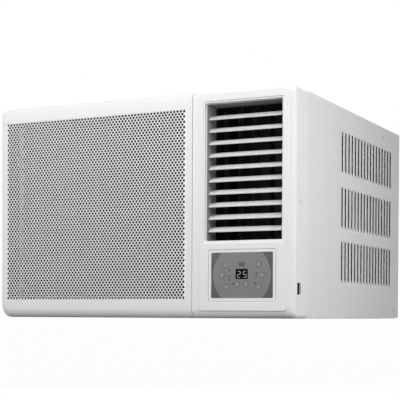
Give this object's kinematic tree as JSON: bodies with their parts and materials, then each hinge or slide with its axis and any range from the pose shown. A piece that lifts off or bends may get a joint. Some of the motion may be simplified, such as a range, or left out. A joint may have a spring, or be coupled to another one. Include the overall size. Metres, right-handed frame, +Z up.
{
  "type": "window air conditioner",
  "caption": "Window air conditioner: moulded front with a perforated intake door, a louvred side outlet and a control plate, on a steel cabinet that holds coils, fans and a compressor.",
  "frame": {"origin": "middle of the underside of the whole unit, level with the underside of its base pan", "axes": "+Z up, -Y out of the room-side front, +X to the right seen from the room, so that the air outlet is on +X"},
  "size_m": [0.66, 0.668, 0.432],
  "materials": {
    "white_abs": "satin moulded ABS, warm white",
    "perforated_steel": "white powder coat on perforated sheet",
    "cabinet_paint": "off-white powder coat, fine orange peel",
    "dark_grey_abs": "dark grey moulded ABS",
    "black_abs": "black moulded ABS, matt",
    "louvre_abs": "white moulded ABS, satin",
    "grey_plate": "grey control film, satin",
    "button_grey": "light grey moulded buttons",
    "display_black": "black smoked acrylic",
    "filter_frame_plastic": "grey polypropylene frame",
    "filter_net": "drawn polypropylene net",
    "fin_aluminium": "coated aluminium fins",
    "copper_tube": "drawn copper tube",
    "galvanised_steel": "galvanised sheet steel",
    "motor_steel": "grey painted motor casing",
    "shaft_steel": "ground steel shaft",
    "fan_plastic": "glass-filled polypropylene",
    "compressor_black": "black enamel on pressed steel",
    "rubber": "moulded rubber",
    "circuit_board": "green board with components",
    "tray_foam": "expanded polystyrene",
    "guard_wire": "black coated steel wire",
    "swing_motor_plastic": "white moulded casing",
    "screw_steel": "zinc plated screws"
  },
  "bodies": {
    "housing": {"front_frame": "white_abs", "outlet_bezel": "white_abs", "outlet_frame": "dark_grey_abs", "evaporator_fins": "fin_aluminium", "evaporator_tubes": "copper_tube", "drain_tray": "tray_foam", "scroll_casing": "black_abs", "bulkhead": "galvanised_steel", "fan_motor": "motor_steel", "condenser_shroud": "black_abs", "condenser_fins": "fin_aluminium", "condenser_tubes": "copper_tube", "coil_end_plates": "galvanised_steel", "compressor": "compressor_black", "compressor_grommets": "rubber", "accumulator": "compressor_black", "refrigerant_pipes": "copper_tube", "base_pan": "galvanised_steel", "cabinet": "cabinet_paint", "electrical_box": "galvanised_steel", "inverter_board": "circuit_board", "control_plate": "grey_plate", "display_window": "display_black", "display_board": "circuit_board", "cord_gland": "rubber", "rear_guard": "guard_wire", "swing_motor": "swing_motor_plastic", "screws": "screw_steel"},
    "intake_door": {"intake_door": "white_abs", "perforated_sheet": "perforated_steel"},
    "air_filter": {"filter_frame": "filter_frame_plastic", "filter_mesh": "filter_net"},
    "rotor": {"blower_wheel": "fan_plastic", "fan_shaft": "shaft_steel", "condenser_fan": "fan_plastic"},
    "louvre_link": {"louvre_link": "dark_grey_abs"},
    "vane_link": {"vane_link": "black_abs"},
    "louvre_1": {"louvre_1": "louvre_abs"},
    "louvre_2": {"louvre_2": "louvre_abs"},
    "louvre_3": {"louvre_3": "louvre_abs"},
    "louvre_4": {"louvre_4": "louvre_abs"},
    "louvre_5": {"louvre_5": "louvre_abs"},
    "louvre_6": {"louvre_6": "louvre_abs"},
    "louvre_7": {"louvre_7": "louvre_abs"},
    "louvre_8": {"louvre_8": "louvre_abs"},
    "louvre_9": {"louvre_9": "louvre_abs"},
    "louvre_10": {"louvre_10": "louvre_abs"},
    "vane_1": {"vane_1": "black_abs"},
    "vane_2": {"vane_2": "black_abs"},
    "vane_3": {"vane_3": "black_abs"},
    "vane_4": {"vane_4": "black_abs"},
    "vane_5": {"vane_5": "black_abs"},
    "button_1": {"button_1": "button_grey"},
    "button_2": {"button_2": "button_grey"},
    "button_3": {"button_3": "button_grey"},
    "button_4": {"button_4": "button_grey"},
    "button_5": {"button_5": "button_grey"},
    "button_6": {"button_6": "button_grey"},
    "button_7": {"button_7": "button_grey"},
    "button_8": {"button_8": "button_grey"}
  },
  "joints": [
    {"name": "intake_door_hinge", "type": "hinge", "parent": "housing", "child": "intake_door", "pos_m": [-0.106, -0.322, 0.42], "axis": [-1, 0, 0], "range_deg": [0, 80]},
    {"name": "filter_slide", "type": "slide", "parent": "housing", "child": "air_filter", "axis": [-1, 0, 0], "range_m": [0, 0.4]},
    {"name": "rotor_spin", "type": "hinge", "parent": "housing", "child": "rotor", "pos_m": [-0.095, -0.034, 0.222], "axis": [0, 1, 0], "continuous": true},
    {"name": "louvre_1_tilt", "type": "hinge", "parent": "housing", "child": "louvre_1", "pos_m": [0.22415, -0.314, 0.38365], "axis": [1, 0, 0], "range_deg": [-46, 16]},
    {"name": "louvre_2_tilt", "type": "hinge", "parent": "housing", "child": "louvre_2", "pos_m": [0.22415, -0.314, 0.3599], "axis": [1, 0, 0], "range_deg": [-46, 16]},
    {"name": "louvre_3_tilt", "type": "hinge", "parent": "housing", "child": "louvre_3", "pos_m": [0.22415, -0.314, 0.33615], "axis": [1, 0, 0], "range_deg": [-46, 16]},
    {"name": "louvre_4_tilt", "type": "hinge", "parent": "housing", "child": "louvre_4", "pos_m": [0.22415, -0.314, 0.3124], "axis": [1, 0, 0], "range_deg": [-46, 16]},
    {"name": "louvre_5_tilt", "type": "hinge", "parent": "housing", "child": "louvre_5", "pos_m": [0.22415, -0.314, 0.28865], "axis": [1, 0, 0], "range_deg": [-46, 16]},
    {"name": "louvre_6_tilt", "type": "hinge", "parent": "housing", "child": "louvre_6", "pos_m": [0.22415, -0.314, 0.2649], "axis": [1, 0, 0], "range_deg": [-46, 16]},
    {"name": "louvre_7_tilt", "type": "hinge", "parent": "housing", "child": "louvre_7", "pos_m": [0.22415, -0.314, 0.24115], "axis": [1, 0, 0], "range_deg": [-46, 16]},
    {"name": "louvre_8_tilt", "type": "hinge", "parent": "housing", "child": "louvre_8", "pos_m": [0.22415, -0.314, 0.2174], "axis": [1, 0, 0], "range_deg": [-46, 16]},
    {"name": "louvre_9_tilt", "type": "hinge", "parent": "housing", "child": "louvre_9", "pos_m": [0.22415, -0.314, 0.19365], "axis": [1, 0, 0], "range_deg": [-46, 16]},
    {"name": "louvre_10_tilt", "type": "hinge", "parent": "housing", "child": "louvre_10", "pos_m": [0.22415, -0.314, 0.1699], "axis": [1, 0, 0], "range_deg": [-46, 16]},
    {"name": "louvre_link_pivot", "type": "hinge", "parent": "louvre_1", "child": "louvre_link", "pos_m": [0.30035, -0.30681, 0.38716], "axis": [1, 0, 0], "range_deg": [-16, 46]},
    {"name": "vane_1_swing", "type": "hinge", "parent": "housing", "child": "vane_1", "pos_m": [0.16175, -0.268, 0.277], "axis": [0, 0, 1], "range_deg": [-35, 35]},
    {"name": "vane_2_swing", "type": "hinge", "parent": "housing", "child": "vane_2", "pos_m": [0.19295, -0.268, 0.277], "axis": [0, 0, 1], "range_deg": [-35, 35]},
    {"name": "vane_3_swing", "type": "hinge", "parent": "housing", "child": "vane_3", "pos_m": [0.22415, -0.268, 0.277], "axis": [0, 0, 1], "range_deg": [-35, 35]},
    {"name": "vane_4_swing", "type": "hinge", "parent": "housing", "child": "vane_4", "pos_m": [0.25535, -0.268, 0.277], "axis": [0, 0, 1], "range_deg": [-35, 35]},
    {"name": "vane_5_swing", "type": "hinge", "parent": "housing", "child": "vane_5", "pos_m": [0.28655, -0.268, 0.277], "axis": [0, 0, 1], "range_deg": [-35, 35]},
    {"name": "vane_link_pivot", "type": "hinge", "parent": "vane_1", "child": "vane_link", "pos_m": [0.16175, -0.258, 0.1506], "axis": [0, 0, 1], "range_deg": [-35, 35]},
    {"name": "button_1_press", "type": "slide", "parent": "housing", "child": "button_1", "axis": [0, 1, 0], "range_m": [0, 0.001], "stiffness_N_per_m": 400},
    {"name": "button_2_press", "type": "slide", "parent": "housing", "child": "button_2", "axis": [0, 1, 0], "range_m": [0, 0.001], "stiffness_N_per_m": 400},
    {"name": "button_3_press", "type": "slide", "parent": "housing", "child": "button_3", "axis": [0, 1, 0], "range_m": [0, 0.001], "stiffness_N_per_m": 400},
    {"name": "button_4_press", "type": "slide", "parent": "housing", "child": "button_4", "axis": [0, 1, 0], "range_m": [0, 0.001], "stiffness_N_per_m": 400},
    {"name": "button_5_press", "type": "slide", "parent": "housing", "child": "button_5", "axis": [0, 1, 0], "range_m": [0, 0.001], "stiffness_N_per_m": 400},
    {"name": "button_6_press", "type": "slide", "parent": "housing", "child": "button_6", "axis": [0, 1, 0], "range_m": [0, 0.001], "stiffness_N_per_m": 400},
    {"name": "button_7_press", "type": "slide", "parent": "housing", "child": "button_7", "axis": [0, 1, 0], "range_m": [0, 0.001], "stiffness_N_per_m": 400},
    {"name": "button_8_press", "type": "slide", "parent": "housing", "child": "button_8", "axis": [0, 1, 0], "range_m": [0, 0.001], "stiffness_N_per_m": 400}
  ],
  "couplings": [
    {"joint": "louvre_2_tilt", "follows": "louvre_1_tilt", "ratio": 1},
    {"joint": "louvre_3_tilt", "follows": "louvre_1_tilt", "ratio": 1},
    {"joint": "louvre_4_tilt", "follows": "louvre_1_tilt", "ratio": 1},
    {"joint": "louvre_5_tilt", "follows": "louvre_1_tilt", "ratio": 1},
    {"joint": "louvre_6_tilt", "follows": "louvre_1_tilt", "ratio": 1},
    {"joint": "louvre_7_tilt", "follows": "louvre_1_tilt", "ratio": 1},
    {"joint": "louvre_8_tilt", "follows": "louvre_1_tilt", "ratio": 1},
    {"joint": "louvre_9_tilt", "follows": "louvre_1_tilt", "ratio": 1},
    {"joint": "louvre_10_tilt", "follows": "louvre_1_tilt", "ratio": 1},
    {"joint": "louvre_link_pivot", "follows": "louvre_1_tilt", "ratio": -1},
    {"joint": "vane_2_swing", "follows": "vane_1_swing", "ratio": 1},
    {"joint": "vane_3_swing", "follows": "vane_1_swing", "ratio": 1},
    {"joint": "vane_4_swing", "follows": "vane_1_swing", "ratio": 1},
    {"joint": "vane_5_swing", "follows": "vane_1_swing", "ratio": 1},
    {"joint": "vane_link_pivot", "follows": "vane_1_swing", "ratio": -1}
  ]
}
